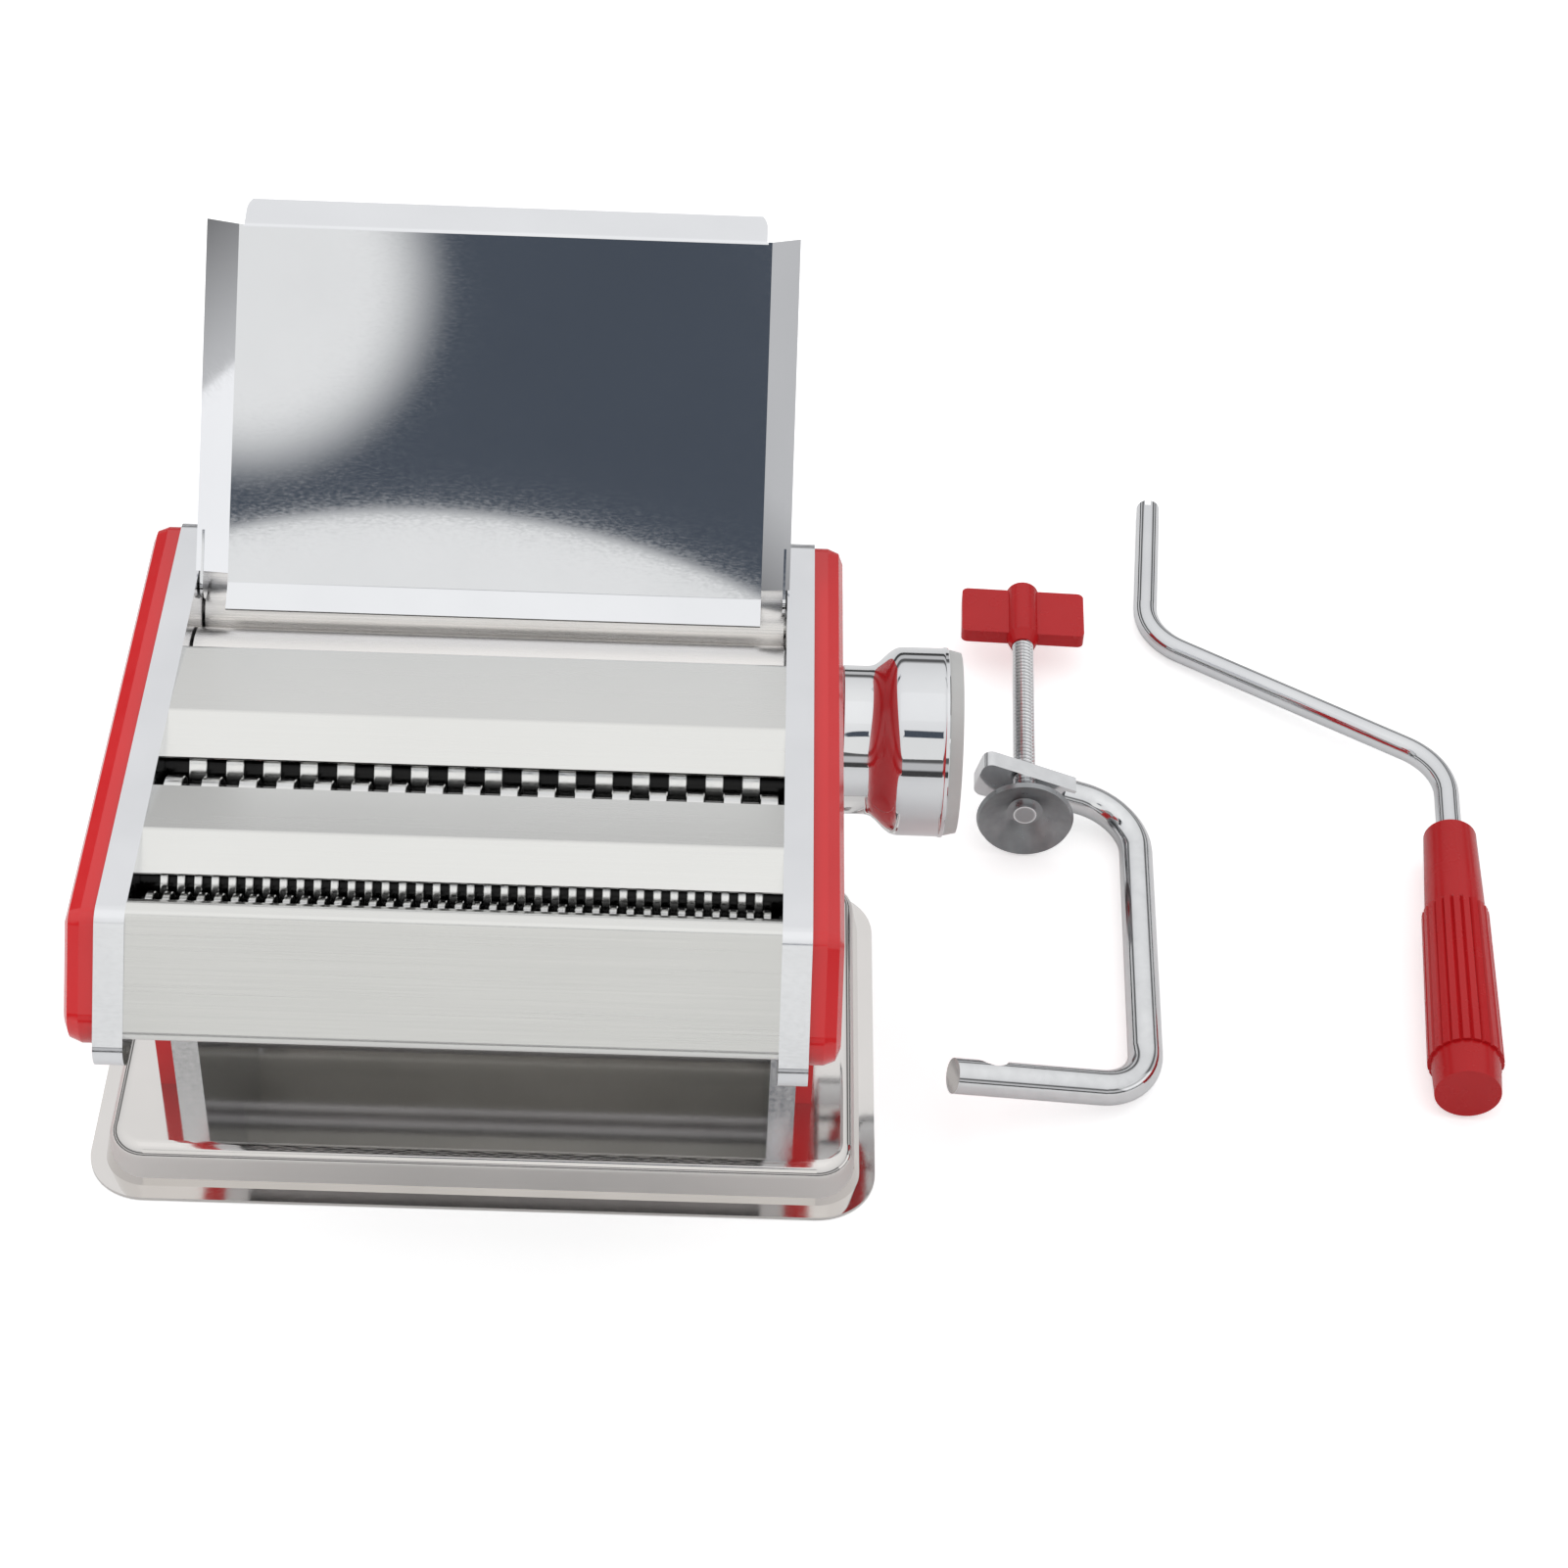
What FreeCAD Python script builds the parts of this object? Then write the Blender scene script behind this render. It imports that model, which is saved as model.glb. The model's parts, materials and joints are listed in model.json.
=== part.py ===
import FreeCAD, Part
import math
import os

# Manual pasta roller machine: sheet rollers, two cutters, dial, hopper, base, with its crank and table clamp.
# Millimetres. +Z is up, +X is the dial side and -Y the front. The origin is under the middle of the base.

V = FreeCAD.Vector
X_AXIS = V(1, 0, 0)
Y_AXIS = V(0, 1, 0)
Z_AXIS = V(0, 0, 1)

# Clearances, and how far cutting shapes and joined shapes reach past each other
RUN_FIT = 0.05
CLEAR = 0.4
END_PLAY = 0.5
LAP = 1.0

# Base tray
BASE_MARGIN = 14.5
BASE_DEPTH = 122.0
BASE_CORNER = 16.0
BASE_FLANGE = 4.0
BASE_HEIGHT = 13.0
BASE_DRAFT = 2.5
BASE_SHOULDER = 4.0
BASE_INNER_BEVEL = 3.0
BASE_SHEET = 1.0
CLAMP_HOLE_WIDTH = 10.6
CLAMP_HOLE_HEIGHT = 6.6

# Side plates: a web with a rolled rim round its outline, and the covers outside them
WEB = 2.0
RIM_WIDTH = 7.0
RIM_SHEET = 1.6
COVER_DEPTH = 7.5
COVER_INSET = 1.0
COVER_WALL = 2.8
COVER_ROUND = 4.0
LEG_COVER_DEPTH = 4.4
FACE_WALL = 2.2

# Side outline, front to back
TOP_Z = 136.0
FRONT_TOP_Y = -89.5
FRONT_LOW_Y = -113.5
FRONT_LOW_DROP = 32.0
BELLY_DROP = 38.0
LEG_FRONT_Y = -32.5
LEG_REAR_Y = 45.0
LEG_TOP_DROP = 70.0
REAR_NOTCH_DROP = 50.0
REAR_LOW_Y = 75.0
REAR_LOW_DROP = 30.0
REAR_TOP_Y = 55.0
TRIM_ROUND = 5.0
COVER_CORNER = 9.0
FRONT_TOP_ROUND = 6.0
LEG_FRONT_ROUND = 14.0
LEG_REAR_ROUND = 10.0
REAR_LOW_ROUND = 9.0
REAR_TOP_ROUND = 6.0

# Smooth rollers
ROLLER_LENGTH = 150.0
SMOOTH_R = 13.0
SMOOTH_DROP = 21.0
DRIVE_Y = 45.2
SHEET_GAP = 2.0
SHEET_GAP_MIN = 0.3
JOURNAL_R = 6.5

# Cutters
CUTTER_R = 9.2
GROOVE_R = 7.3
CUTTER_SPACING = 17.4
CUTTER_DROP = 14.0
WIDE_NIP_Y = -32.0
WIDE_PITCH = 9.0
NARROW_NIP_Y = -71.7
NARROW_PITCH = 4.0
END_RING = 0.4
RING_SIDE_GAP = 0.1
WIDE_SIDES = 10
NARROW_SIDES = 8

# Gears on the left
GEAR_TEETH = 12
GEAR_WIDTH = 4.6
GEAR_GAP = 3.7
SMOOTH_ADDENDUM = 2.2
CUTTER_ADDENDUM = 1.25
GEAR_ROOT_GAP = 0.35
TOOTH_ROOT = 0.28
TOOTH_TIP = 0.08

# Crank socket in the left end of the driven shafts
SOCKET_R = 4.2
SOCKET_DEPTH = 14.0
SOCKET_END = 1.5
CRANK_HOLE_R = 7.5

# Sheet gap adjuster on the right
DIAL_Y = 24.8
DIAL_DROP = 21.0
PIVOT_DROP = 34.0
PIVOT_R = 4.0
CARRIER = 2.5
CARRIER_GAP = 0.5
CARRIER_EYE = 4.5
CARRIER_BAR = 6.0
CARRIER_SQUARE = 5.6
PIN_R = 1.2
SCROLL_R = 10.5
SCROLL_THICK = 3.0
SCROLL_SLOT_DEPTH = 2.2
SCROLL_TURN = 270.0
SCROLL_RUN_ON = 14.0
ADJUSTER_PILOT_R = 3.0
ADJUSTER_HUB_R = 5.0
ADJUSTER_SQUARE = 7.0
KNOB_NECK_R = 19.6
KNOB_R = 25.1
KNOB_GAP = 1.0
KNOB_NECK = 8.7
KNOB_FLARE = 5.9
KNOB_BARREL = 12.9
KNOB_WALL = 2.5
KNOB_BLEND = 1.0
KNOB_BLEND_RISE = 0.9
RING_R = 24.6
RING_THICK = 3.5
RING_LIP = 3.0
RING_SINK = 0.8

# Top panels and guards
PANEL = 0.8
PANEL_BEND = 1.2
PANEL_TOP_DROP = 0.7
PANEL_EDGE_DROP = 5.1
UPPER_LIP_BACK = 8.2
UPPER_LIP_DROP = 4.6
UPPER_LIP = 2.0
UPPER_FOLD = 4.7
UPPER_EDGE = 1.4
MIDDLE_REAR = 2.3
MIDDLE_REAR_DROP = 3.4
MIDDLE_FOLD = 2.3
MIDDLE_EDGE = 0.9
FRONT_EDGE = 1.6
FRONT_EDGE_DROP = 3.2
FRONT_FOLD = 3.9
FRONT_FOLD_DROP = 0.4
FRONT_NOSE = 1.3
FRONT_NOSE_DROP = 0.8
FRONT_LOW_IN = 7.7
FRONT_LOW_RISE = 8.6
FRONT_HEM_IN = 11.0
FRONT_HEM_RISE = 6.5
REAR_EDGE = 4.5
REAR_FOLD = 1.0
REAR_FOLD_DROP = 1.2
REAR_LOW_IN = 2.2
REAR_LOW_RISE = 0.6
REAR_HEM_IN = 14.0
REAR_HEM_DROP = 8.4
SCRAPER = 0.8
SCRAPER_BEND_IN = 0.8
SCRAPER_BEND_DROP = 22.0
SCRAPER_FOOT_DROP = 29.0
REAR_SCRAPER_TIP = 4.3
REAR_SCRAPER_TIP_DROP = 13.2
FRONT_SCRAPER_TIP = 4.4
FRONT_SCRAPER_TIP_DROP = 13.7
FRONT_SCRAPER_FOOT = 0.2

# Hopper
HOPPER_LEAN = 43.0
HOPPER_Y = 36.5
HOPPER_DROP = 5.0
HOPPER_PLATE_IN = 6.7
HOPPER_LENGTH = 92.5
HOPPER_WING_OVER = 0.5
HOPPER_WING_RISE = 6.5
HOPPER_LIP_IN = 1.3
HOPPER_LIP = 9.2
HOPPER_LIP_BEND = 35.0
HOPPER_FOOT = 7.4
HOPPER_FOOT_BEND = 20.0
HOPPER_SEAT = 2.4
HOPPER_EAR_R = 4.5
HOPPER_EAR_Y = -1.0
HOPPER_EAR_NECK = 13.0
HOPPER_LIP_ROUND = 5.0
HOPPER_SHEET = 0.8

# Tie bars
TIE_FLATS = 9.0
FRONT_TIE_IN = 21.5
FRONT_TIE_RISE = 8.0
MIDDLE_TIE_DROP = 12.0
LOW_TIE_IN = 40.5
LOW_TIE_RISE = 21.0

# Crank, lying beside the machine
CRANK_X = 266.0
CRANK_Y = -18.4
CRANK_TURN = -5.0
CRANK_ROD_R = 3.7
CRANK_REACH = 91.0
CRANK_BEND = 24.0
CRANK_LOW_BEND = 133.0
CRANK_HIGH_BEND = 189.0
CRANK_LENGTH = 254.0
CRANK_SLOT = 1.8
CRANK_SLOT_LENGTH = 13.0
GRIP_LENGTH = 101.0
GRIP_BAND = 11.0
GRIP_RIBBED = 68.0
GRIP_BAND_R = 9.6
GRIP_BAND_TAPER = 0.5
GRIP_LOW_R = 10.5
GRIP_TOP_R = 9.6
GRIP_NECK_LOW_R = 8.7
GRIP_NECK_R = 7.7
GRIP_RIBS = 22
GRIP_RIB_DEPTH = 0.7
GRIP_RIB_SHARE = 0.3
GRIP_BORE_GAP = 0.08
GRIP_HEAD_R = 5.6
GRIP_HEAD = 1.6
GRIP_END_WALL = 3.0

# Clamp, lying beside the machine
CLAMP_X = 149.2
CLAMP_Y = 84.0
CLAMP_TURN = -2.0
CUP_R = 14.2
CUP_DEPTH = 4.2
CUP_SHEET = 1.3
CUP_BOSS_R = 5.2
CUP_BOSS = 4.0
CUP_BOSS_TAPER = 1.0
CLAMP_ROD_R = 4.85
CLAMP_SPINE = 34.7
CLAMP_BEND = 17.0
CLAMP_ARM = 12.0
CLAMP_JAW = 111.0
CLAMP_PLATE_HALF = 14.5
CLAMP_PLATE = 6.0
CLAMP_PLATE_WIDTH = 13.0
CLAMP_PLATE_ROUND = 3.0
CLAMP_PLATE_LAP = 3.0
CLAMP_DROOP = 12.0
CLAMP_NOSE = 21.5
CLAMP_NOTCH_R = 5.0
CLAMP_NOTCH_IN = 10.0
CLAMP_NOTCH_DEPTH = 4.0
SCREW_R = 3.3
SCREW_LENGTH = 70.0
SCREW_RIVET_R = 2.0
SCREW_BUTTON_R = 3.4
WING_HALF = 19.0
WING_HEIGHT = 20.5
WING_THICK = 4.5
WING_BOSS_R = 5.0
WING_NECK = 4.0
WING_ROUND = 2.0
WING_NECK_STEP = 0.3
WING_BOSS_OVER = 1.0

# Sizes worked out from those above
FRONT_LOW_Z = TOP_Z - FRONT_LOW_DROP
BELLY_Z = TOP_Z - BELLY_DROP
LEG_TOP_Z = TOP_Z - LEG_TOP_DROP
REAR_NOTCH_Z = TOP_Z - REAR_NOTCH_DROP
REAR_LOW_Z = TOP_Z - REAR_LOW_DROP
SMOOTH_Z = TOP_Z - SMOOTH_DROP
CUTTER_Z = TOP_Z - CUTTER_DROP
DIAL_Z = SMOOTH_Z - DIAL_DROP
PIVOT_Z = SMOOTH_Z - PIVOT_DROP
HOPPER_Z = TOP_Z - HOPPER_DROP
INNER_HALF = ROLLER_LENGTH / 2 + END_PLAY
WEB_OUT = INNER_HALF + WEB
RIM_OUT = INNER_HALF + RIM_WIDTH
COVER_OUT = RIM_OUT + COVER_DEPTH
BASE_WIDTH = 2 * (COVER_OUT + BASE_MARGIN)
ADJUSTED_Y = DRIVE_Y - 2 * SMOOTH_R - SHEET_GAP
ROLLER_HALF = ROLLER_LENGTH / 2
GEAR_IN = WEB_OUT + GEAR_GAP
GEAR_OUT = GEAR_IN + GEAR_WIDTH
SOCKET_X = COVER_OUT - SOCKET_END
CARRIER_IN = WEB_OUT + CARRIER_GAP
CARRIER_OUT = CARRIER_IN + CARRIER
SCROLL_IN = CARRIER_OUT + CARRIER_GAP
SCROLL_OUT = SCROLL_IN + SCROLL_THICK
KNOB_IN = COVER_OUT + KNOB_GAP
KNOB_OUT = KNOB_IN + KNOB_NECK + KNOB_FLARE + KNOB_BARREL
SCROLL_START = DIAL_Y - ADJUSTED_Y
GAP_SWING = (SHEET_GAP - SHEET_GAP_MIN) / (SMOOTH_Z - PIVOT_Z)
SCROLL_RISE = GAP_SWING * (DIAL_Z - PIVOT_Z)
SMOOTH_GEAR_R = SMOOTH_R + SHEET_GAP_MIN / 2
WIDE_REAR_Y = WIDE_NIP_Y + CUTTER_SPACING / 2
WIDE_FRONT_Y = WIDE_NIP_Y - CUTTER_SPACING / 2
NARROW_REAR_Y = NARROW_NIP_Y + CUTTER_SPACING / 2
NARROW_FRONT_Y = NARROW_NIP_Y - CUTTER_SPACING / 2
FIXED_AXES = (
    (DRIVE_Y, SMOOTH_Z),
    (WIDE_REAR_Y, CUTTER_Z),
    (WIDE_FRONT_Y, CUTTER_Z),
    (NARROW_REAR_Y, CUTTER_Z),
    (NARROW_FRONT_Y, CUTTER_Z),
)
WIDE_RINGS = int(ROLLER_LENGTH / WIDE_PITCH + END_RING)
NARROW_RINGS = int(ROLLER_LENGTH / NARROW_PITCH + END_RING)
HOPPER_PLATE_HALF = INNER_HALF - HOPPER_PLATE_IN
HOPPER_WING_HALF = INNER_HALF + HOPPER_WING_OVER
HOPPER_LIP_HALF = HOPPER_PLATE_HALF - HOPPER_LIP_IN
PANEL_TOP_Z = TOP_Z - PANEL_TOP_DROP
PANEL_EDGE_Z = TOP_Z - PANEL_EDGE_DROP
SCRAPER_BEND_Z = SMOOTH_Z - SCRAPER_BEND_DROP
SCRAPER_FOOT_Z = SMOOTH_Z - SCRAPER_FOOT_DROP
TIE_PLACES = (
    (FRONT_LOW_Y + FRONT_TIE_IN, FRONT_LOW_Z + FRONT_TIE_RISE),
    ((WIDE_FRONT_Y + NARROW_REAR_Y) / 2, CUTTER_Z - MIDDLE_TIE_DROP),
    (LEG_FRONT_Y + LOW_TIE_IN, BASE_HEIGHT + LOW_TIE_RISE),
)
DRIVEN_AXES = ((DRIVE_Y, SMOOTH_Z), (WIDE_FRONT_Y, CUTTER_Z), (NARROW_FRONT_Y, CUTTER_Z))


# Shape helpers

def unit(a, b):
    return (b - a).normalize()


def rounded_edges(corners):
    """Edges of a closed outline: corners are (point, radius) pairs, a radius of 0 stays sharp."""
    ends = []
    count = len(corners)
    for index, (corner, radius) in enumerate(corners):
        before = unit(corner, corners[index - 1][0])
        after = unit(corner, corners[(index + 1) % count][0])
        if radius == 0:
            ends.append((corner, None, corner))
            continue
        half = before.getAngle(after) / 2
        reach = radius / math.tan(half)
        bisector = (before + after).normalize()
        middle = corner + bisector * (radius / math.sin(half) - radius)
        ends.append((corner + before * reach, middle, corner + after * reach))
    edges = []
    for index, (start, middle, end) in enumerate(ends):
        if middle is not None:
            edges.append(Part.Arc(start, middle, end).toShape())
        following = ends[(index + 1) % count][0]
        if (following - end).Length > 1e-6:
            edges.append(Part.LineSegment(end, following).toShape())
    return edges


def outline(corners):
    return Part.Wire(rounded_edges(corners))


def side_outline(corners, x):
    """Closed outline across X from (y, z, radius) corners."""
    return outline([(V(x, y, z), radius) for y, z, radius in corners])


def slab(wire, depth):
    """Solid of a flat outline, as deep as the vector says."""
    return Part.Face(wire).extrude(depth)


def rod_x(radius, x_from, x_to, y, z):
    return Part.makeCylinder(radius, x_to - x_from, V(x_from, y, z), X_AXIS)


def turned(profile, y=0.0, z=0.0):
    """Solid of revolution about an X line; the profile is (x, radius) pairs, closed along the axis."""
    points = [V(x, radius, 0) for x, radius in profile]
    face = Part.Face(Part.makePolygon(points + [points[0]]))
    solid = face.revolve(V(0, 0, 0), X_AXIS, 360)
    solid.translate(V(0, y, z))
    return solid


def prism_x(sides, radius, x_from, x_to, y, z, phase=0.0):
    """Regular prism along X; the radius reaches its corners and the phase is in sides."""
    corners = []
    for side in range(sides):
        angle = 2 * math.pi * (side + phase) / sides
        corners.append((V(x_from, y + radius * math.cos(angle), z + radius * math.sin(angle)), 0))
    return slab(outline(corners), V(x_to - x_from, 0, 0))


def sheet_corners(path, thickness, bend):
    """Corners of a bent sheet's edge: the path is its outer side, with the thickness to the right of it."""
    count = len(path)
    inner = []
    for index in range(count):
        before = unit(path[max(index - 1, 0)], path[max(index, 1)])
        after = unit(path[min(index, count - 2)], path[min(index + 1, count - 1)])
        turn_before = V(before.y, -before.x, 0)
        turn_after = V(after.y, -after.x, 0)
        normal = (turn_before + turn_after).normalize()
        inner.append(path[index] + normal * (thickness / normal.dot(turn_after)))
    corners = []
    for index, point in enumerate(path):
        corners.append((point, sheet_radius(path, index, thickness, bend, True)))
    for index in reversed(range(count)):
        corners.append((inner[index], sheet_radius(path, index, thickness, bend, False)))
    return corners


def sheet_radius(path, index, thickness, bend, outer):
    if index in (0, len(path) - 1):
        return 0
    before = path[index] - path[index - 1]
    after = path[index + 1] - path[index]
    turns_right = before.cross(after).z < 0
    return bend + thickness if turns_right == outer else bend


def bent_panel(path, half_width, thickness=PANEL, bend=PANEL_BEND):
    """Sheet panel across X between -half_width and half_width, from (y, z) points of its outer side."""
    flat = sheet_corners([V(y, z, 0) for y, z in path], thickness, bend)
    wire = outline([(V(-half_width, point.x, point.y), radius) for point, radius in flat])
    return slab(wire, V(2 * half_width, 0, 0))


def fused(shapes):
    return shapes[0].fuse(shapes[1:]).removeSplitter()


def mirrored(shape):
    return shape.mirror(V(0, 0, 0), X_AXIS)


def save(name, shape):
    shape.exportStep("parts/" + name + ".step")


# Base

def tray_wire(inset, z):
    half_x = BASE_WIDTH / 2 - inset
    half_y = BASE_DEPTH / 2 - inset
    radius = BASE_CORNER - inset
    places = ((-half_x, -half_y), (half_x, -half_y), (half_x, half_y), (-half_x, half_y))
    return outline([(V(x, y, z), radius) for x, y in places])


def tray_block(inset, height):
    """Drafted block with rounded corners, and the edges of its top."""
    walls = Part.makeLoft([tray_wire(inset, 0), tray_wire(inset + BASE_DRAFT, height)], True, True)
    return walls, [edge for edge in walls.Edges if abs(edge.BoundBox.ZMin - height) < 1e-4]


def base_tray():
    """Pressed tray: an outward flange, short leaning walls and a rounded shoulder, open underneath."""
    flange = slab(tray_wire(0, 0), V(0, 0, BASE_SHEET))
    outside, shoulder = tray_block(BASE_FLANGE, BASE_HEIGHT)
    outside = outside.makeFillet(BASE_SHOULDER, shoulder)
    inside, shoulder = tray_block(BASE_FLANGE + BASE_SHEET, BASE_HEIGHT - BASE_SHEET)
    inside = inside.makeChamfer(BASE_INNER_BEVEL, shoulder)
    rear_wall = BASE_DEPTH / 2 - BASE_FLANGE - BASE_DRAFT - BASE_SHOULDER
    clamp_hole = Part.makeBox(CLAMP_HOLE_WIDTH, BASE_FLANGE + BASE_DRAFT + BASE_SHOULDER, CLAMP_HOLE_HEIGHT)
    clamp_hole.translate(V(-CLAMP_HOLE_WIDTH / 2, rear_wall, BASE_SHEET + CLEAR))
    return fused([flange, outside]).cut([inside, clamp_hole])


# Side plates and covers

def side_corners(corner_round, with_leg=True, soft=True):
    """Corners of the side as (y, z, radius); inner outlines, which are not seen, are less soft."""
    foot_z = BASE_HEIGHT if with_leg else LEG_TOP_Z
    foot_round = 0 if with_leg or not soft else corner_round
    return [
        (FRONT_TOP_Y, TOP_Z, FRONT_TOP_ROUND if soft else 0),
        (FRONT_LOW_Y, FRONT_LOW_Z, corner_round),
        (LEG_FRONT_Y, BELLY_Z, LEG_FRONT_ROUND if soft else 0),
        (LEG_FRONT_Y, foot_z, foot_round),
        (LEG_REAR_Y, foot_z, foot_round),
        (LEG_REAR_Y, REAR_NOTCH_Z, LEG_REAR_ROUND if soft else 0),
        (REAR_LOW_Y, REAR_LOW_Z, REAR_LOW_ROUND),
        (REAR_TOP_Y, TOP_Z, REAR_TOP_ROUND if soft else 0),
    ]


def inset(wire, distance):
    """The outline moved inwards, with its sharp corners kept sharp."""
    return wire.makeOffset2D(-distance, 2)


def side_plate(right):
    """Web with a rim that runs round the whole outline, leg included."""
    shape = slab(side_outline(side_corners(TRIM_ROUND), INNER_HALF), V(RIM_WIDTH, 0, 0))
    hollow = inset(side_outline(side_corners(TRIM_ROUND, soft=False), WEB_OUT), RIM_SHEET)
    start = INNER_HALF - WEB
    cuts = [slab(hollow, V(RIM_WIDTH, 0, 0))]
    for y, z in FIXED_AXES:
        cuts.append(rod_x(JOURNAL_R + RUN_FIT, start, RIM_OUT, y, z))
    journal_room = (JOURNAL_R + SHEET_GAP / 2 + CLEAR) / math.cos(math.pi / 8)
    cuts.append(prism_x(8, journal_room, start, RIM_OUT, ADJUSTED_Y + SHEET_GAP / 2, SMOOTH_Z, 0.5))
    cuts.append(rod_x(PIVOT_R + RUN_FIT, start, RIM_OUT, ADJUSTED_Y, PIVOT_Z))
    if right:
        cuts.append(rod_x(ADJUSTER_PILOT_R + RUN_FIT, start, RIM_OUT, DIAL_Y, DIAL_Z))
        return shape.cut(cuts)
    return mirrored(shape.cut(cuts))


def side_cover(right):
    """Domed outer shell with a thinner skirt down the leg."""
    corners = side_corners(COVER_CORNER, False)
    half_way = COVER_ROUND * math.sqrt(0.5)
    steps = (
        (RIM_OUT, 0), (COVER_OUT - COVER_ROUND, 0),
        (COVER_OUT - COVER_ROUND + half_way, COVER_ROUND - half_way), (COVER_OUT, COVER_ROUND),
    )
    sections = [inset(side_outline(corners, x), COVER_INSET + step) for x, step in steps]
    dome = Part.makeLoft(sections, True, True)
    skirt_y = LEG_FRONT_Y + COVER_INSET
    skirt_width = LEG_REAR_Y - LEG_FRONT_Y - 2 * COVER_INSET
    skirt_height = LEG_TOP_Z + 2 * COVER_ROUND - BASE_HEIGHT
    skirt = Part.makeBox(LEG_COVER_DEPTH, skirt_width, skirt_height, V(RIM_OUT, skirt_y, BASE_HEIGHT))
    pocket = inset(side_outline(side_corners(COVER_CORNER, False, False), RIM_OUT), COVER_INSET + COVER_WALL)
    shape = dome.fuse(skirt).cut(slab(pocket, V(COVER_DEPTH - FACE_WALL, 0, 0))).removeSplitter()
    if right:
        return shape.cut(rod_x(ADJUSTER_HUB_R + RUN_FIT, RIM_OUT, COVER_OUT + LAP, DIAL_Y, DIAL_Z))
    holes = [rod_x(CRANK_HOLE_R, RIM_OUT, COVER_OUT + LAP, y, z) for y, z in DRIVEN_AXES]
    return mirrored(shape.cut(holes))


def tie_bars():
    """Hexagonal bars that hold the sides apart."""
    radius = TIE_FLATS / math.sqrt(3)
    return Part.makeCompound([prism_x(6, radius, -INNER_HALF, INNER_HALF, y, z) for y, z in TIE_PLACES])


# Panels that close the top, front and rear between the sides

def upper_panel():
    lip_y = ADJUSTED_Y - UPPER_LIP_BACK
    lip_z = TOP_Z - UPPER_LIP_DROP
    return bent_panel((
        (lip_y, lip_z), (lip_y - UPPER_LIP, lip_z + UPPER_LIP),
        (WIDE_REAR_Y + UPPER_FOLD, PANEL_TOP_Z), (WIDE_NIP_Y + UPPER_EDGE, PANEL_EDGE_Z),
    ), INNER_HALF)


def middle_panel():
    return bent_panel((
        (WIDE_FRONT_Y - MIDDLE_REAR, TOP_Z - MIDDLE_REAR_DROP),
        (NARROW_REAR_Y + MIDDLE_FOLD, PANEL_TOP_Z), (NARROW_NIP_Y + MIDDLE_EDGE, PANEL_EDGE_Z),
    ), INNER_HALF)


def front_panel():
    return bent_panel((
        (NARROW_FRONT_Y - FRONT_EDGE, TOP_Z - FRONT_EDGE_DROP),
        (FRONT_TOP_Y + FRONT_FOLD, TOP_Z - FRONT_FOLD_DROP),
        (FRONT_TOP_Y + FRONT_NOSE, TOP_Z - FRONT_NOSE_DROP),
        (FRONT_LOW_Y + FRONT_LOW_IN, FRONT_LOW_Z + FRONT_LOW_RISE),
        (FRONT_LOW_Y + FRONT_HEM_IN, FRONT_LOW_Z + FRONT_HEM_RISE),
    ), INNER_HALF)


def rear_panel():
    return bent_panel((
        (REAR_TOP_Y - REAR_EDGE, TOP_Z - REAR_FOLD_DROP), (REAR_TOP_Y - REAR_FOLD, TOP_Z - REAR_FOLD_DROP),
        (REAR_LOW_Y - REAR_LOW_IN, REAR_LOW_Z + REAR_LOW_RISE),
        (REAR_LOW_Y - REAR_HEM_IN, REAR_LOW_Z - REAR_HEM_DROP),
    ), INNER_HALF)


def rear_scraper():
    bend_y = DRIVE_Y + SCRAPER_BEND_IN
    return bent_panel((
        (DRIVE_Y - REAR_SCRAPER_TIP, SMOOTH_Z - REAR_SCRAPER_TIP_DROP),
        (bend_y, SCRAPER_BEND_Z), (bend_y, SCRAPER_FOOT_Z),
    ), INNER_HALF, SCRAPER)


def front_scraper():
    return bent_panel((
        (ADJUSTED_Y - FRONT_SCRAPER_FOOT, SCRAPER_FOOT_Z), (ADJUSTED_Y - SCRAPER_BEND_IN, SCRAPER_BEND_Z),
        (ADJUSTED_Y + FRONT_SCRAPER_TIP, SMOOTH_Z - FRONT_SCRAPER_TIP_DROP),
    ), INNER_HALF, SCRAPER)


# Rollers and cutters

def crank_socket(y, z):
    return rod_x(SOCKET_R, -SOCKET_X - LAP, -SOCKET_X + SOCKET_DEPTH, y, z)


def roller_body(profile, y, z, left_end, socket):
    """Turned roller with a six-sided left end for its gear, and a crank socket where it is driven."""
    journal_end = GEAR_IN - CLEAR / 2
    turned_part = turned(
        [(-journal_end, 0), (-journal_end, JOURNAL_R), (-ROLLER_HALF, JOURNAL_R)] + profile
        + [(ROLLER_HALF, JOURNAL_R), (CARRIER_OUT, JOURNAL_R), (CARRIER_OUT, 0)], y, z)
    gear_seat = prism_x(6, JOURNAL_R, -left_end, -journal_end, y, z)
    shape = turned_part.fuse(gear_seat)
    if socket:
        shape = shape.cut(crank_socket(y, z))
    return shape


def drive_roller():
    profile = [(-ROLLER_HALF, SMOOTH_R), (ROLLER_HALF, SMOOTH_R)]
    return roller_body(profile, DRIVE_Y, SMOOTH_Z, SOCKET_X, True)


def adjustable_roller():
    profile = [(-ROLLER_HALF, SMOOTH_R), (ROLLER_HALF, SMOOTH_R)]
    return roller_body(profile, ADJUSTED_Y, SMOOTH_Z, GEAR_OUT, False)


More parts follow.
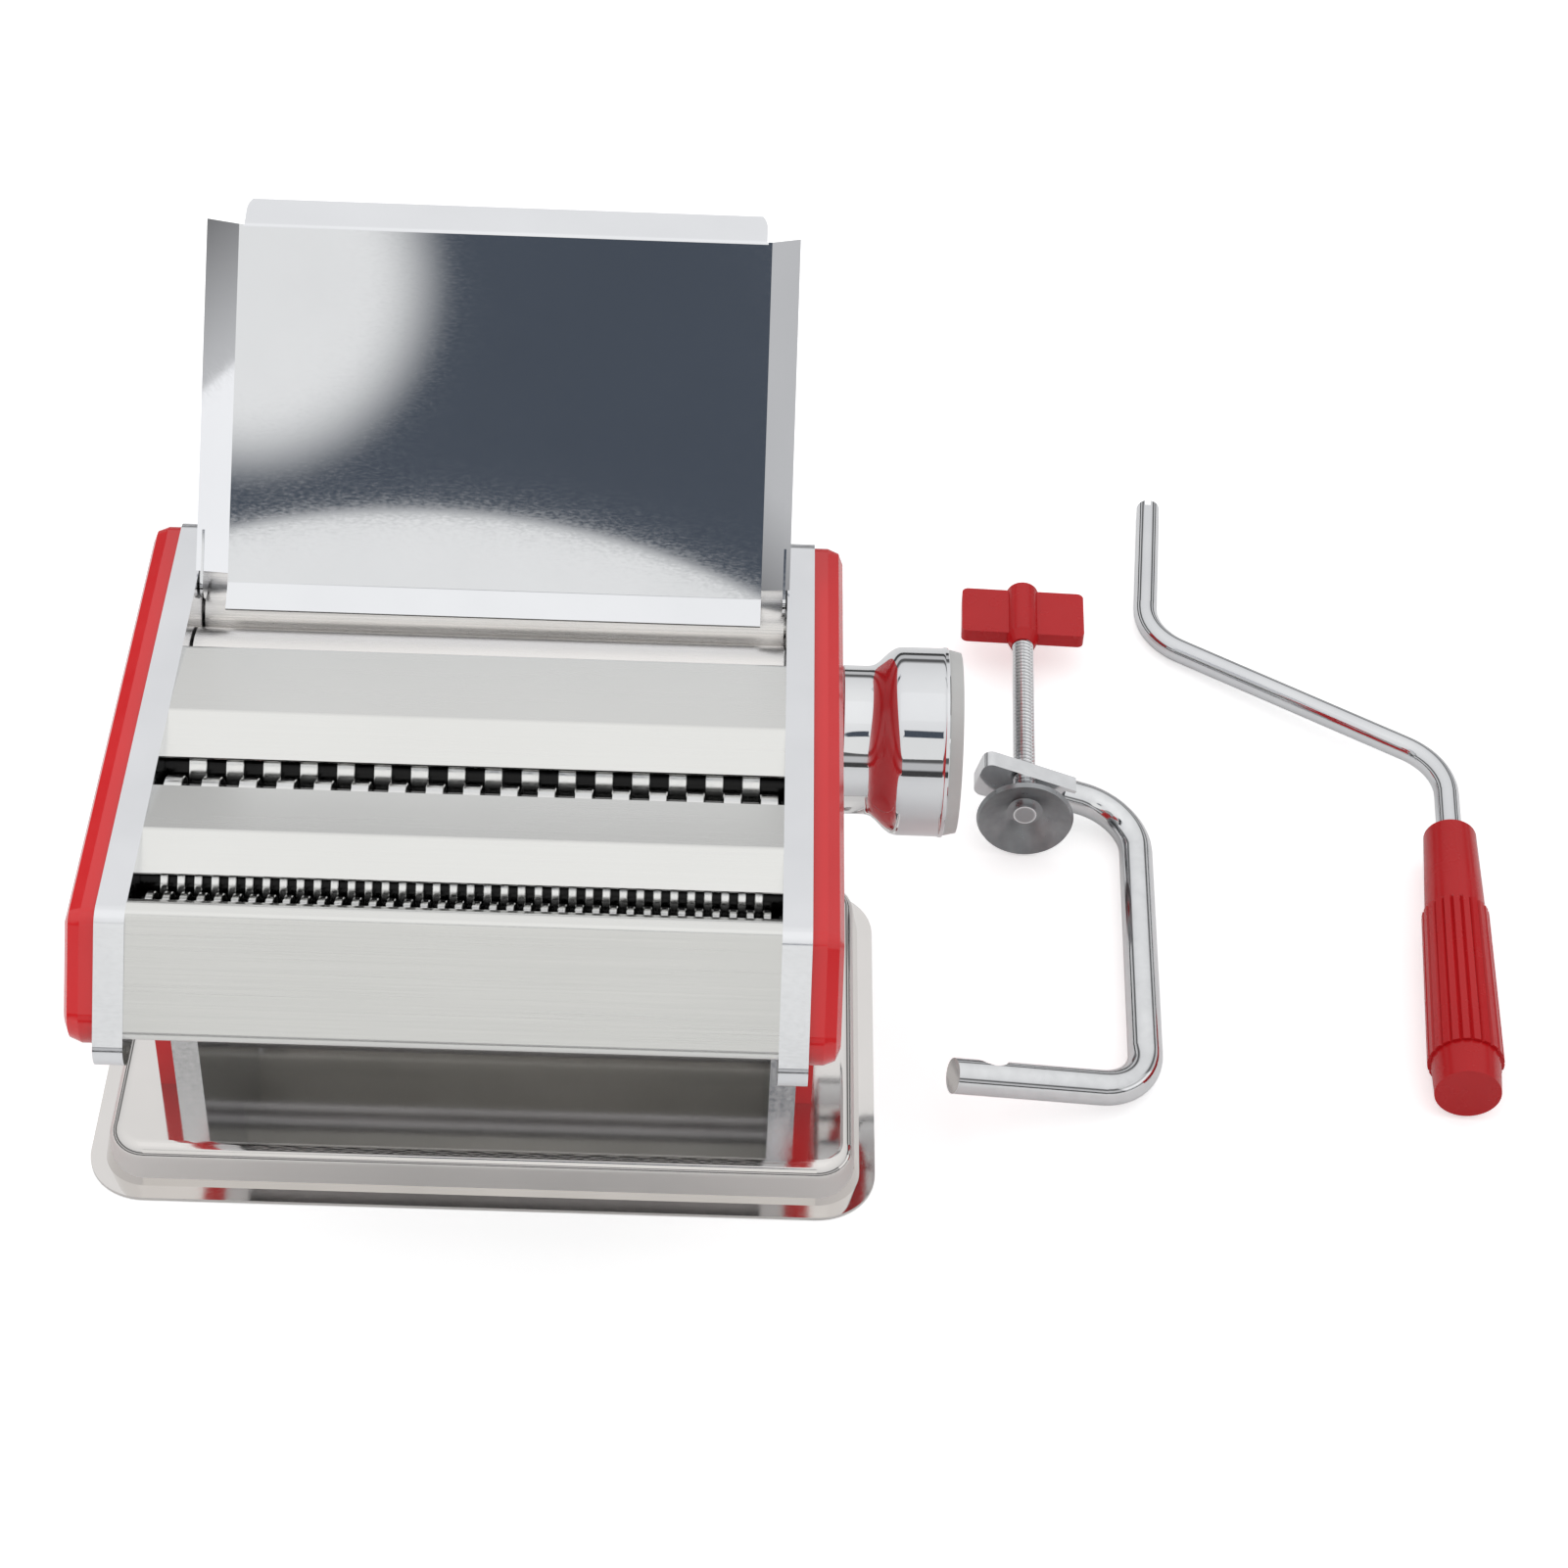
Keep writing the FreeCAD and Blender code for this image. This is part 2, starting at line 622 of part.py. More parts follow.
def cutter(pitch, rings, sides, y, driven):
    """Roller with square rings; the rings of the pair fill each other's grooves. The rings are many-sided."""
    half = pitch / 4 - RING_SIDE_GAP / 2
    starts = [(index - (rings - 1) / 2) * pitch for index in range(rings)]
    core = prism_x(sides, GROOVE_R, -ROLLER_HALF, ROLLER_HALF, y, CUTTER_Z)
    discs = [prism_x(sides, CUTTER_R, x - half, x + half, y, CUTTER_Z) for x in starts]
    shaft = roller_body([], y, CUTTER_Z, SOCKET_X if driven else GEAR_OUT, False)
    shape = shaft.fuse([core] + discs)
    if driven:
        shape = shape.cut(crank_socket(y, CUTTER_Z))
    return shape.removeSplitter()


def spur_gear(pitch_r, addendum, y, z, phase):
    """Straight-flanked gear with loose teeth; phase is in tooth pitches."""
    tip_r = pitch_r + addendum
    root_r = 2 * pitch_r - tip_r - GEAR_ROOT_GAP
    pitch_angle = 2 * math.pi / GEAR_TEETH
    flank = ((-TOOTH_ROOT, root_r), (-TOOTH_TIP, tip_r), (TOOTH_TIP, tip_r), (TOOTH_ROOT, root_r))
    points = []
    for tooth in range(GEAR_TEETH):
        for offset, radius in flank:
            angle = (tooth + offset + phase) * pitch_angle
            points.append((V(-GEAR_OUT, y + radius * math.cos(angle), z + radius * math.sin(angle)), 0))
    blank = slab(outline(points), V(GEAR_WIDTH, 0, 0))
    return blank.cut(prism_x(6, JOURNAL_R, -GEAR_OUT - LAP, -GEAR_IN + LAP, y, z))


# Sheet gap adjuster

def carrier_shaft():
    """Round cross shaft with a square at each end for the carriers."""
    shaft = rod_x(PIVOT_R, -WEB_OUT, WEB_OUT, ADJUSTED_Y, PIVOT_Z)
    half = CARRIER_SQUARE / 2
    corner = V(-CARRIER_OUT, ADJUSTED_Y - half, PIVOT_Z - half)
    ends = Part.makeBox(2 * CARRIER_OUT, 2 * half, 2 * half, corner)
    return fused([shaft, ends])


def carrier(right):
    """Swinging arm that carries one end of the front roller."""
    eye = prism_x(8, JOURNAL_R + CARRIER_EYE, CARRIER_IN, CARRIER_OUT, ADJUSTED_Y, SMOOTH_Z, 0.5)
    foot = prism_x(8, PIVOT_R + CARRIER_EYE, CARRIER_IN, CARRIER_OUT, ADJUSTED_Y, PIVOT_Z, 0.5)
    bar = Part.makeBox(CARRIER, CARRIER_BAR, SMOOTH_Z - PIVOT_Z)
    bar.translate(V(CARRIER_IN, ADJUSTED_Y - CARRIER_BAR / 2, PIVOT_Z))
    half = CARRIER_SQUARE / 2
    square = Part.makeBox(2 * CARRIER, 2 * half, 2 * half)
    square.translate(V(CARRIER_IN - CARRIER / 2, ADJUSTED_Y - half, PIVOT_Z - half))
    bore = rod_x(JOURNAL_R + RUN_FIT, CARRIER_IN - LAP, CARRIER_OUT + LAP, ADJUSTED_Y, SMOOTH_Z)
    shape = fused([eye, foot, bar]).cut([bore, square])
    if not right:
        return mirrored(shape)
    pin = rod_x(PIN_R, CARRIER_IN, SCROLL_IN + SCROLL_SLOT_DEPTH - CLEAR, ADJUSTED_Y, DIAL_Z)
    return fused([shape, pin])


def scroll_point(turn, radius):
    """Point of the scroll at a turn in degrees from the follower pin."""
    angle = math.radians(180 - turn)
    return V(SCROLL_IN, DIAL_Y + radius * math.cos(angle), DIAL_Z + radius * math.sin(angle))


def scroll_slot():
    """Spiral groove: its radius falls evenly with the turn, so the carrier swings evenly with the dial."""
    half = PIN_R + CLEAR
    steps = [-SCROLL_RUN_ON + index * (SCROLL_TURN + 2 * SCROLL_RUN_ON) / 6 for index in range(7)]

    def radius(turn):
        return SCROLL_START - SCROLL_RISE * turn / SCROLL_TURN

    def side(shift):
        arcs = []
        for start, end in zip(steps, steps[1:]):
            middle = (start + end) / 2
            spots = [scroll_point(turn, radius(turn) + shift) for turn in (start, middle, end)]
            arcs.append(Part.Arc(*spots).toShape())
        return arcs

    first = Part.LineSegment(scroll_point(steps[0], radius(steps[0]) - half),
                             scroll_point(steps[0], radius(steps[0]) + half)).toShape()
    last = Part.LineSegment(scroll_point(steps[-1], radius(steps[-1]) - half),
                            scroll_point(steps[-1], radius(steps[-1]) + half)).toShape()
    wire = Part.Wire(Part.__sortEdges__(side(half) + [last] + side(-half) + [first]))
    return slab(wire, V(SCROLL_SLOT_DEPTH, 0, 0))


def adjuster_shaft():
    """Pilot in the side plate, scroll disc, hub through the cover and a square end for the dial."""
    square_end = KNOB_OUT - KNOB_WALL - CLEAR
    hub_end = KNOB_IN + KNOB_WALL
    shape = turned([
        (INNER_HALF, 0), (INNER_HALF, ADJUSTER_PILOT_R), (SCROLL_IN, ADJUSTER_PILOT_R), (SCROLL_IN, SCROLL_R),
        (SCROLL_OUT, SCROLL_R), (SCROLL_OUT, ADJUSTER_HUB_R), (hub_end, ADJUSTER_HUB_R), (hub_end, 0),
    ], DIAL_Y, DIAL_Z)
    half = ADJUSTER_SQUARE / 2
    square = Part.makeBox(square_end - hub_end, 2 * half, 2 * half, V(hub_end, DIAL_Y - half, DIAL_Z - half))
    return fused([shape, square]).cut(scroll_slot())


def dial_knob():
    """Stepped barrel knob, hollow towards the machine, with a square socket."""
    flare_in = KNOB_IN + KNOB_NECK
    barrel_in = flare_in + KNOB_FLARE
    shape = turned([
        (KNOB_IN, 0), (KNOB_IN, KNOB_NECK_R), (flare_in - KNOB_BLEND, KNOB_NECK_R),
        (flare_in + KNOB_BLEND, KNOB_NECK_R + KNOB_BLEND_RISE),
        (barrel_in - KNOB_BLEND, KNOB_R - KNOB_BLEND_RISE),
        (barrel_in + KNOB_BLEND, KNOB_R), (KNOB_OUT, KNOB_R), (KNOB_OUT, 0),
    ], DIAL_Y, DIAL_Z)
    room = KNOB_NECK_R - KNOB_WALL
    hollow = rod_x(room, KNOB_IN - LAP, KNOB_OUT - 2 * KNOB_WALL, DIAL_Y, DIAL_Z)
    hub_half = ADJUSTER_SQUARE / 2 + KNOB_WALL
    hub_start = KNOB_IN + KNOB_WALL + CLEAR
    hub = Part.makeBox(KNOB_OUT - KNOB_WALL - hub_start, 2 * hub_half, 2 * hub_half)
    hub.translate(V(hub_start, DIAL_Y - hub_half, DIAL_Z - hub_half))
    half = ADJUSTER_SQUARE / 2 + RUN_FIT
    socket = Part.makeBox(KNOB_OUT - KNOB_WALL - KNOB_IN, 2 * half, 2 * half)
    socket.translate(V(KNOB_IN, DIAL_Y - half, DIAL_Z - half))
    return shape.cut(hollow).fuse(hub).cut(socket)


def dial_ring():
    """End plate with a raised rim that closes the knob."""
    return turned([
        (KNOB_OUT, 0), (KNOB_OUT, RING_R), (KNOB_OUT + RING_THICK, RING_R - RING_SINK),
        (KNOB_OUT + RING_THICK, RING_R - RING_LIP),
        (KNOB_OUT + RING_THICK - RING_SINK, RING_R - RING_LIP - RING_SINK),
        (KNOB_OUT + RING_THICK - RING_SINK, 0),
    ], DIAL_Y, DIAL_Z)


# Hopper: built upright with its plate facing -Y, then leaned back

def hopper_wing(side):
    """Flared side of the tray, from just above the seat to the top, with an ear inside the side plate."""
    flat = [
        V(HOPPER_PLATE_HALF - LAP, 0, HOPPER_SEAT), V(HOPPER_PLATE_HALF, 0, HOPPER_SEAT),
        V(HOPPER_WING_HALF, -HOPPER_WING_RISE, HOPPER_SEAT),
        V(HOPPER_WING_HALF, HOPPER_SHEET - HOPPER_WING_RISE, HOPPER_SEAT),
        V(HOPPER_PLATE_HALF, HOPPER_SHEET, HOPPER_SEAT),
        V(HOPPER_PLATE_HALF - LAP, HOPPER_SHEET, HOPPER_SEAT),
    ]
    wing = slab(outline([(point, 0) for point in flat]), V(0, 0, HOPPER_LENGTH - HOPPER_SEAT))
    ear_x = INNER_HALF - CLEAR - HOPPER_SHEET
    round_end = Part.makeCylinder(HOPPER_EAR_R, HOPPER_SHEET, V(ear_x, HOPPER_EAR_Y, 0), X_AXIS)
    neck = Part.makeBox(HOPPER_SHEET, 2 * HOPPER_EAR_R, HOPPER_EAR_NECK)
    neck.translate(V(ear_x, HOPPER_EAR_Y - HOPPER_EAR_R, 0))
    shape = fused([wing, round_end, neck])
    return shape if side > 0 else mirrored(shape)


def hopper():
    """Feed tray: a leaning plate with a lip bent back, a foot bent forward and flared sides."""
    lean = math.radians(HOPPER_LIP_BEND)
    tuck = math.radians(HOPPER_FOOT_BEND)
    path = (
        (-HOPPER_FOOT * math.sin(tuck), -HOPPER_FOOT * math.cos(tuck)), (0, 0), (0, HOPPER_LENGTH),
        (HOPPER_LIP * math.sin(lean), HOPPER_LENGTH + HOPPER_LIP * math.cos(lean)),
    )
    plate = bent_panel(path, HOPPER_PLATE_HALF, HOPPER_SHEET)
    top = HOPPER_LENGTH + HOPPER_LIP
    right_edge = [
        (HOPPER_PLATE_HALF, -HOPPER_FOOT, 0), (HOPPER_PLATE_HALF, HOPPER_LENGTH, 0),
        (HOPPER_LIP_HALF, HOPPER_LENGTH, 0), (HOPPER_LIP_HALF, top, HOPPER_LIP_ROUND),
    ]
    edge = right_edge + [(-x, z, radius) for x, z, radius in reversed(right_edge)]
    blank = [(V(x, -HOPPER_FOOT, z), radius) for x, z, radius in edge]
    plate = plate.common(slab(outline(blank), V(0, HOPPER_FOOT + HOPPER_LIP, 0)))
    shape = fused([plate, hopper_wing(-1), hopper_wing(1)])
    shape.rotate(V(0, 0, 0), X_AXIS, -HOPPER_LEAN)
    shape.translate(V(0, HOPPER_Y, HOPPER_Z))
    return shape


# Crank: built along +Y from the grip's end, then turned and laid on the table

def crank_place(shape, tilt):
    """Tips the crank about its grip until the shank rests on the table, then turns it into place."""
    if tilt:
        drop = GRIP_LOW_R - CRANK_ROD_R
        shape.rotate(V(0, 0, GRIP_LOW_R), Y_AXIS, -math.degrees(math.asin(drop / CRANK_REACH)))
    shape.rotate(V(0, 0, 0), Z_AXIS, CRANK_TURN)
    shape.translate(V(CRANK_X, CRANK_Y, 0))
    return shape


def round_bar(points, radius, bend):
    """Round bar along straight runs joined by tangent arcs."""
    edges = []
    start = points[0]
    for before, corner, after in zip(points, points[1:], points[2:]):
        back = unit(corner, before)
        ahead = unit(corner, after)
        half = back.getAngle(ahead) / 2
        reach = bend / math.tan(half)
        middle = corner + (back + ahead).normalize() * (bend / math.sin(half) - bend)
        edges.append(Part.LineSegment(start, corner + back * reach).toShape())
        edges.append(Part.Arc(corner + back * reach, middle, corner + ahead * reach).toShape())
        start = corner + ahead * reach
    edges.append(Part.LineSegment(start, points[-1]).toShape())
    section = Part.Wire([Part.makeCircle(radius, points[0], points[1] - points[0])])
    return Part.Wire(edges).makePipeShell([section], True, False)


def crank_rod():
    """Bent rod with a head caught inside the grip and a slotted end for the machine's sockets."""
    z = GRIP_LOW_R
    head_y = GRIP_END_WALL + CLEAR
    points = [
        V(0, head_y, z), V(0, CRANK_LOW_BEND, z),
        V(-CRANK_REACH, CRANK_HIGH_BEND, z), V(-CRANK_REACH, CRANK_LENGTH, z),
    ]
    rod = round_bar(points, CRANK_ROD_R, CRANK_BEND)
    head = Part.makeCylinder(GRIP_HEAD_R, GRIP_HEAD, V(0, head_y, z), Y_AXIS)
    slot = Part.makeBox(CRANK_SLOT, CRANK_SLOT_LENGTH, 2 * CRANK_ROD_R)
    slot.translate(V(-CRANK_REACH - CRANK_SLOT / 2, CRANK_LENGTH - CRANK_SLOT_LENGTH, z + CRANK_ROD_R / 2))
    return crank_place(rod.fuse(head).cut(slot), True)


def crank_grip():
    """Closed handle with a ribbed middle, free to spin on the rod, with a chamber for the rod's head."""
    z = GRIP_LOW_R
    band = Part.makeCone(GRIP_BAND_R - GRIP_BAND_TAPER, GRIP_BAND_R, GRIP_BAND, V(0, 0, z), Y_AXIS)
    neck_length = GRIP_LENGTH - GRIP_RIBBED
    neck = Part.makeCone(GRIP_NECK_LOW_R, GRIP_NECK_R, neck_length, V(0, GRIP_RIBBED, z), Y_AXIS)
    rings = []
    for y, radius in ((GRIP_BAND, GRIP_LOW_R), (GRIP_RIBBED, GRIP_TOP_R)):
        points = []
        for rib in range(GRIP_RIBS):
            for offset, cut in ((-GRIP_RIB_SHARE, 0), (GRIP_RIB_SHARE, 0), (0.5, GRIP_RIB_DEPTH)):
                angle = 2 * math.pi * (rib + offset) / GRIP_RIBS
                reach = radius - cut
                points.append((V(reach * math.cos(angle), y, z + reach * math.sin(angle)), 0))
        rings.append(outline(points))
    ribbed = Part.makeLoft(rings, True, True)
    bore_r = CRANK_ROD_R + GRIP_BORE_GAP
    bore = Part.makeCylinder(bore_r, GRIP_LENGTH, V(0, GRIP_END_WALL, z), Y_AXIS)
    chamber = Part.makeCylinder(GRIP_HEAD_R + CLEAR, GRIP_HEAD + 2 * CLEAR, V(0, GRIP_END_WALL, z), Y_AXIS)
    return crank_place(fused([band, ribbed, neck]).cut([bore, chamber]), False)


# Clamp: built along +Y from the cup, with its arms in the flat of the table, then tipped and turned

def clamp_place(shape, tilt):
    """Tips the frame about its screw until the spine rests on the table, then turns it into place."""
    if tilt:
        drop = CUP_R - CLAMP_ROD_R
        shape.rotate(V(0, 0, CUP_R), Y_AXIS, math.degrees(math.asin(drop / CLAMP_SPINE)))
    shape.rotate(V(0, 0, 0), Z_AXIS, CLAMP_TURN)
    shape.translate(V(CLAMP_X, CLAMP_Y, 0))
    return shape


def clamp_frame():
    """Bent bar: a flattened, tapped upper arm, a spine and a lower arm with a notch near its end."""
    z = CUP_R
    low = CLAMP_ARM - CLAMP_JAW
    points = [
        V(CLAMP_PLATE_HALF - CLAMP_PLATE_LAP, CLAMP_ARM, z), V(CLAMP_SPINE, CLAMP_ARM, z),
        V(CLAMP_SPINE, low, z), V(-CLAMP_NOSE, low - CLAMP_DROOP, z),
    ]
    bar = round_bar(points, CLAMP_ROD_R, CLAMP_BEND)
    half_width = CLAMP_PLATE_WIDTH / 2
    plate_corners = [
        (V(-CLAMP_PLATE_HALF, CLAMP_ARM - CLAMP_PLATE / 2, z - half_width), CLAMP_PLATE_ROUND),
        (V(CLAMP_PLATE_HALF, CLAMP_ARM - CLAMP_PLATE / 2, z - CLAMP_ROD_R), 0),
        (V(CLAMP_PLATE_HALF, CLAMP_ARM - CLAMP_PLATE / 2, z + CLAMP_ROD_R), 0),
        (V(-CLAMP_PLATE_HALF, CLAMP_ARM - CLAMP_PLATE / 2, z + half_width), CLAMP_PLATE_ROUND),
    ]
    plate = slab(outline(plate_corners), V(0, CLAMP_PLATE, 0))
    notch_x = CLAMP_NOTCH_IN - CLAMP_NOSE
    notch_share = (CLAMP_SPINE - notch_x) / (CLAMP_SPINE + CLAMP_NOSE)
    notch_y = low - CLAMP_DROOP * notch_share + CLAMP_ROD_R + CLAMP_NOTCH_R - CLAMP_NOTCH_DEPTH
    notch_reach = 2 * CLAMP_ROD_R
    notch = Part.makeCylinder(CLAMP_NOTCH_R, 2 * notch_reach, V(notch_x, notch_y, z - notch_reach))
    bore_y = CLAMP_ARM - CLAMP_PLATE / 2 - LAP
    bore = Part.makeCylinder(SCREW_R + RUN_FIT, CLAMP_PLATE + 2 * LAP, V(0, bore_y, z), Y_AXIS)
    return clamp_place(bar.fuse(plate).removeSplitter().cut([notch, bore]), True)


def clamp_screw():
    """Spindle with a riveted end inside the cup."""
    z = CUP_R
    spindle = Part.makeCylinder(SCREW_R, SCREW_LENGTH, V(0, CUP_BOSS, z), Y_AXIS)
    rivet = Part.makeCylinder(SCREW_RIVET_R, CUP_BOSS + CLEAR, V(0, -CLEAR, z), Y_AXIS)
    button = Part.makeCone(SCREW_RIVET_R, SCREW_BUTTON_R, CUP_SHEET, V(0, -CUP_SHEET - CLEAR, z), Y_AXIS)
    return clamp_place(fused([spindle, rivet, button]), False)


def clamp_cup():
    """Pressed cup, hollow side away from the screw, with a boss that turns on the screw's end."""
    profile = [
        (CUP_BOSS - CLEAR, SCREW_RIVET_R + RUN_FIT), (CUP_BOSS - CLEAR, CUP_BOSS_R - CUP_BOSS_TAPER),
        (CUP_SHEET, CUP_BOSS_R),
        (CUP_SHEET - CUP_DEPTH, CUP_R), (-CUP_DEPTH, CUP_R - CUP_SHEET / 2), (0, CUP_BOSS_R),
        (0, SCREW_RIVET_R + RUN_FIT),
    ]
    cup = turned(profile)
    cup.rotate(V(0, 0, 0), Z_AXIS, 90)
    cup.translate(V(0, 0, CUP_R))
    return clamp_place(cup, False)


def clamp_wing():
    """Moulded wing handle, pressed on the screw."""
    z = CUP_R
    start = CUP_BOSS + SCREW_LENGTH
    plate_corners = [
        (V(-WING_HALF, start + WING_NECK, z - WING_THICK / 2), WING_ROUND),
        (V(WING_HALF, start + WING_NECK, z - WING_THICK / 2), WING_ROUND),
        (V(WING_HALF, start + WING_NECK + WING_HEIGHT, z - WING_THICK / 2), WING_ROUND),
        (V(-WING_HALF, start + WING_NECK + WING_HEIGHT, z - WING_THICK / 2), WING_ROUND),
    ]
    wings = slab(outline(plate_corners), V(0, 0, WING_THICK))
    neck = Part.makeCone(SCREW_R + WING_NECK_STEP, WING_BOSS_R, WING_NECK, V(0, start, z), Y_AXIS)
    boss = Part.makeCylinder(WING_BOSS_R, WING_HEIGHT + WING_BOSS_OVER, V(0, start + WING_NECK, z), Y_AXIS)
    return clamp_place(fused([wings, neck, boss]), False)


def main():
    os.makedirs("parts", exist_ok=True)
    save("base_tray", base_tray())
    save("left_side_plate", side_plate(False))
    save("right_side_plate", side_plate(True))
    save("left_cover", side_cover(False))
    save("right_cover", side_cover(True))
    save("tie_bars", tie_bars())
    save("upper_panel", upper_panel())
    save("middle_panel", middle_panel())
    save("front_panel", front_panel())
    save("rear_panel", rear_panel())
    save("rear_scraper", rear_scraper())
    save("front_scraper", front_scraper())
    save("drive_roller", drive_roller())
    save("drive_gear", spur_gear(SMOOTH_GEAR_R, SMOOTH_ADDENDUM, DRIVE_Y, SMOOTH_Z, 0.5))
    save("adjustable_roller", adjustable_roller())
    save("adjustable_gear", spur_gear(SMOOTH_GEAR_R, SMOOTH_ADDENDUM, ADJUSTED_Y, SMOOTH_Z, 0))
    cutter_gear_r = CUTTER_SPACING / 2
    save("wide_cutter_front", cutter(WIDE_PITCH, WIDE_RINGS, WIDE_SIDES, WIDE_FRONT_Y, True))
    save("wide_gear_front", spur_gear(cutter_gear_r, CUTTER_ADDENDUM, WIDE_FRONT_Y, CUTTER_Z, 0))
    save("wide_cutter_rear", cutter(WIDE_PITCH, WIDE_RINGS - 1, WIDE_SIDES, WIDE_REAR_Y, False))
    save("wide_gear_rear", spur_gear(cutter_gear_r, CUTTER_ADDENDUM, WIDE_REAR_Y, CUTTER_Z, 0.5))
    save("narrow_cutter_front", cutter(NARROW_PITCH, NARROW_RINGS, NARROW_SIDES, NARROW_FRONT_Y, True))
    save("narrow_gear_front", spur_gear(cutter_gear_r, CUTTER_ADDENDUM, NARROW_FRONT_Y, CUTTER_Z, 0))
    save("narrow_cutter_rear", cutter(NARROW_PITCH, NARROW_RINGS - 1, NARROW_SIDES, NARROW_REAR_Y, False))
    save("narrow_gear_rear", spur_gear(cutter_gear_r, CUTTER_ADDENDUM, NARROW_REAR_Y, CUTTER_Z, 0.5))
    save("carrier_shaft", carrier_shaft())
    save("left_carrier", carrier(False))
    save("right_carrier", carrier(True))
    save("adjuster_shaft", adjuster_shaft())
    save("dial_knob", dial_knob())
    save("dial_ring", dial_ring())
    save("hopper", hopper())
    save("crank_rod", crank_rod())
    save("crank_grip", crank_grip())
    save("clamp_frame", clamp_frame())
    save("clamp_screw", clamp_screw())
    save("clamp_cup", clamp_cup())
    save("clamp_wing", clamp_wing())


main()
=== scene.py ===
import json
import math

import bmesh
import bpy
from mathutils import Matrix, Vector


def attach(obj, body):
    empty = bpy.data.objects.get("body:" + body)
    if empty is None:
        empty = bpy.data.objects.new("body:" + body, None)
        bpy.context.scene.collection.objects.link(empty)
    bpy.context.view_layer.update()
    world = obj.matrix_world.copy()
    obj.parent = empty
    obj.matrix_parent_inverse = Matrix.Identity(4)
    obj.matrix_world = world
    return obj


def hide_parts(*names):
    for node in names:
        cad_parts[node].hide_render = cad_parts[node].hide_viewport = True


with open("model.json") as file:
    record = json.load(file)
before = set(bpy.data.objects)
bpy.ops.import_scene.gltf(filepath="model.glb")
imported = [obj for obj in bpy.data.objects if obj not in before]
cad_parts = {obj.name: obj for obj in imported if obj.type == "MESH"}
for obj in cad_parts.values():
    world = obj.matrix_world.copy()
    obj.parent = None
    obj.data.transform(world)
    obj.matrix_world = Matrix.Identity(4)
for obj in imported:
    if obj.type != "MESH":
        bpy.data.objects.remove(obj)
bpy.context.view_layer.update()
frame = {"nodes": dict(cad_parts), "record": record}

# Looks of the pasta roller machine, in metres and in the CAD frame.
# +Z is up, +X towards the dial and -Y towards the front. Named sizes of pieces are in millimetres.

MM = 0.001

# Camera of the photograph
CAMERA_PLACE = Vector((0.0614, -0.62364, 0.68203))
CAMERA_PITCH = 0.75049
CAMERA_YAW = 0.02375
CAMERA_ROLL = 0.04876
IMAGE_SIDE = 1601
FOCAL_PIXELS = 3390
SENSOR = 36.0

# Room: (height, shade) bands from the floor up, then round patches as (centre, radius, softness, shade)
ROOM_BANDS = (
    (0.0, 0.06), (0.10, 0.06), (0.14, 0.60), (0.26, 0.60),
    (0.30, 0.12), (0.38, 0.12), (0.46, 0.80), (1.0, 0.80),
)
ROOM_DARK = (0.075, 0.09, 0.115, 1)
ROOM_PALE = (0.92, 0.92, 0.91, 1)
ROOM_PATCHES = (
    ((-0.052, 0.113), 0.109, 0.010, ROOM_DARK),
    ((-0.128, 0.150), 0.050, 0.014, ROOM_PALE),
    ((-0.079, -0.157), 0.240, 0.002, ROOM_PALE),
)

# Floor and lights: (name, place, size, power, shown in reflections)
FLOOR_HALF = 6
FLOOR_DROP = 0.0002
LIGHT_TARGET = (0.0, 0.0, 0.1)
LIGHTS = (
    ("top_light", (0.0, -0.1, 1.6), (1.2, 1.0), 0.2, True),
    ("left_light", (-1.3, -0.3, 0.9), (0.7, 0.9), 4, False),
    ("right_card", (1.2, -0.1, 0.28), (0.9, 0.45), 0.6, True),
)

# Edges sharper than this stay sharp in the shading
SHARP_ANGLE = math.radians(32)

# Dial knob, as in the CAD model but with softer steps: (x, radius) of the outside and of the hollow
DIAL_Y = 24.8
DIAL_Z = 94.0
KNOB_OUTSIDE = (
    (91.0, 17.1), (91.0, 19.2), (91.4, 19.6), (97.6, 19.6), (98.6, 19.72), (99.6, 20.1),
    (100.6, 20.8), (101.7, 21.85), (102.8, 22.95), (103.8, 23.8), (104.8, 24.42), (105.8, 24.75),
    (106.8, 24.85), (116.6, 24.85), (117.2, 24.9), (117.5, 25.1), (118.3, 25.1), (118.5, 24.9),
)
KNOB_HOLLOW = ((91.0, 17.1), (113.5, 17.1), (113.5, 5.2), (116.0, 5.2))
KNOB_STEPS = 72

# Cutters, as in the CAD model but with round rings: node to (body, y, pitch, rings)
CUTTER_Z = 122.0
CUTTER_R = 9.2
GROOVE_R = 7.3
JOURNAL_R = 6.5
ROLLER_HALF = 75.0
JOURNAL_END = 80.5
RING_BEVEL = 0.18
RING_SIDE_GAP = 0.1
RING_STEPS = 56
# Painted shade, partly oil, in the cutters' grooves: the colour darkens from SHADE_TO down to SHADE_FROM
SHADE_FROM = CUTTER_R - 0.9
SHADE_TO = CUTTER_R - 0.1
CUTTERS = {
    "wide_cutter_front": ("wide_front", -40.7, 9.0, 17),
    "wide_cutter_rear": ("wide_rear", -23.3, 9.0, 16),
    "narrow_cutter_front": ("narrow_front", -80.4, 4.0, 37),
    "narrow_cutter_rear": ("narrow_rear", -63.0, 4.0, 36),
}

# Clamp screw: place and outer radius as in the CAD model, with a thread cut in and a riveted tip
CLAMP_PLACE = Vector((149.2, 84.0, 14.2))
CLAMP_TURN = math.radians(-2.0)
SCREW_R = 3.3
SCREW_FROM = 4.0
SCREW_TO = 74.0
THREAD_PITCH = 1.5
THREAD_DEPTH = 0.7
THREAD_STEPS = 20
CORE_R = SCREW_R - THREAD_DEPTH
CORE_SIDES = 24
TIP_R = 3.4
TIP_END_R = 2.0
TIP_LENGTH = 5.7
TIP_MIDDLE = 1.15


# Camera

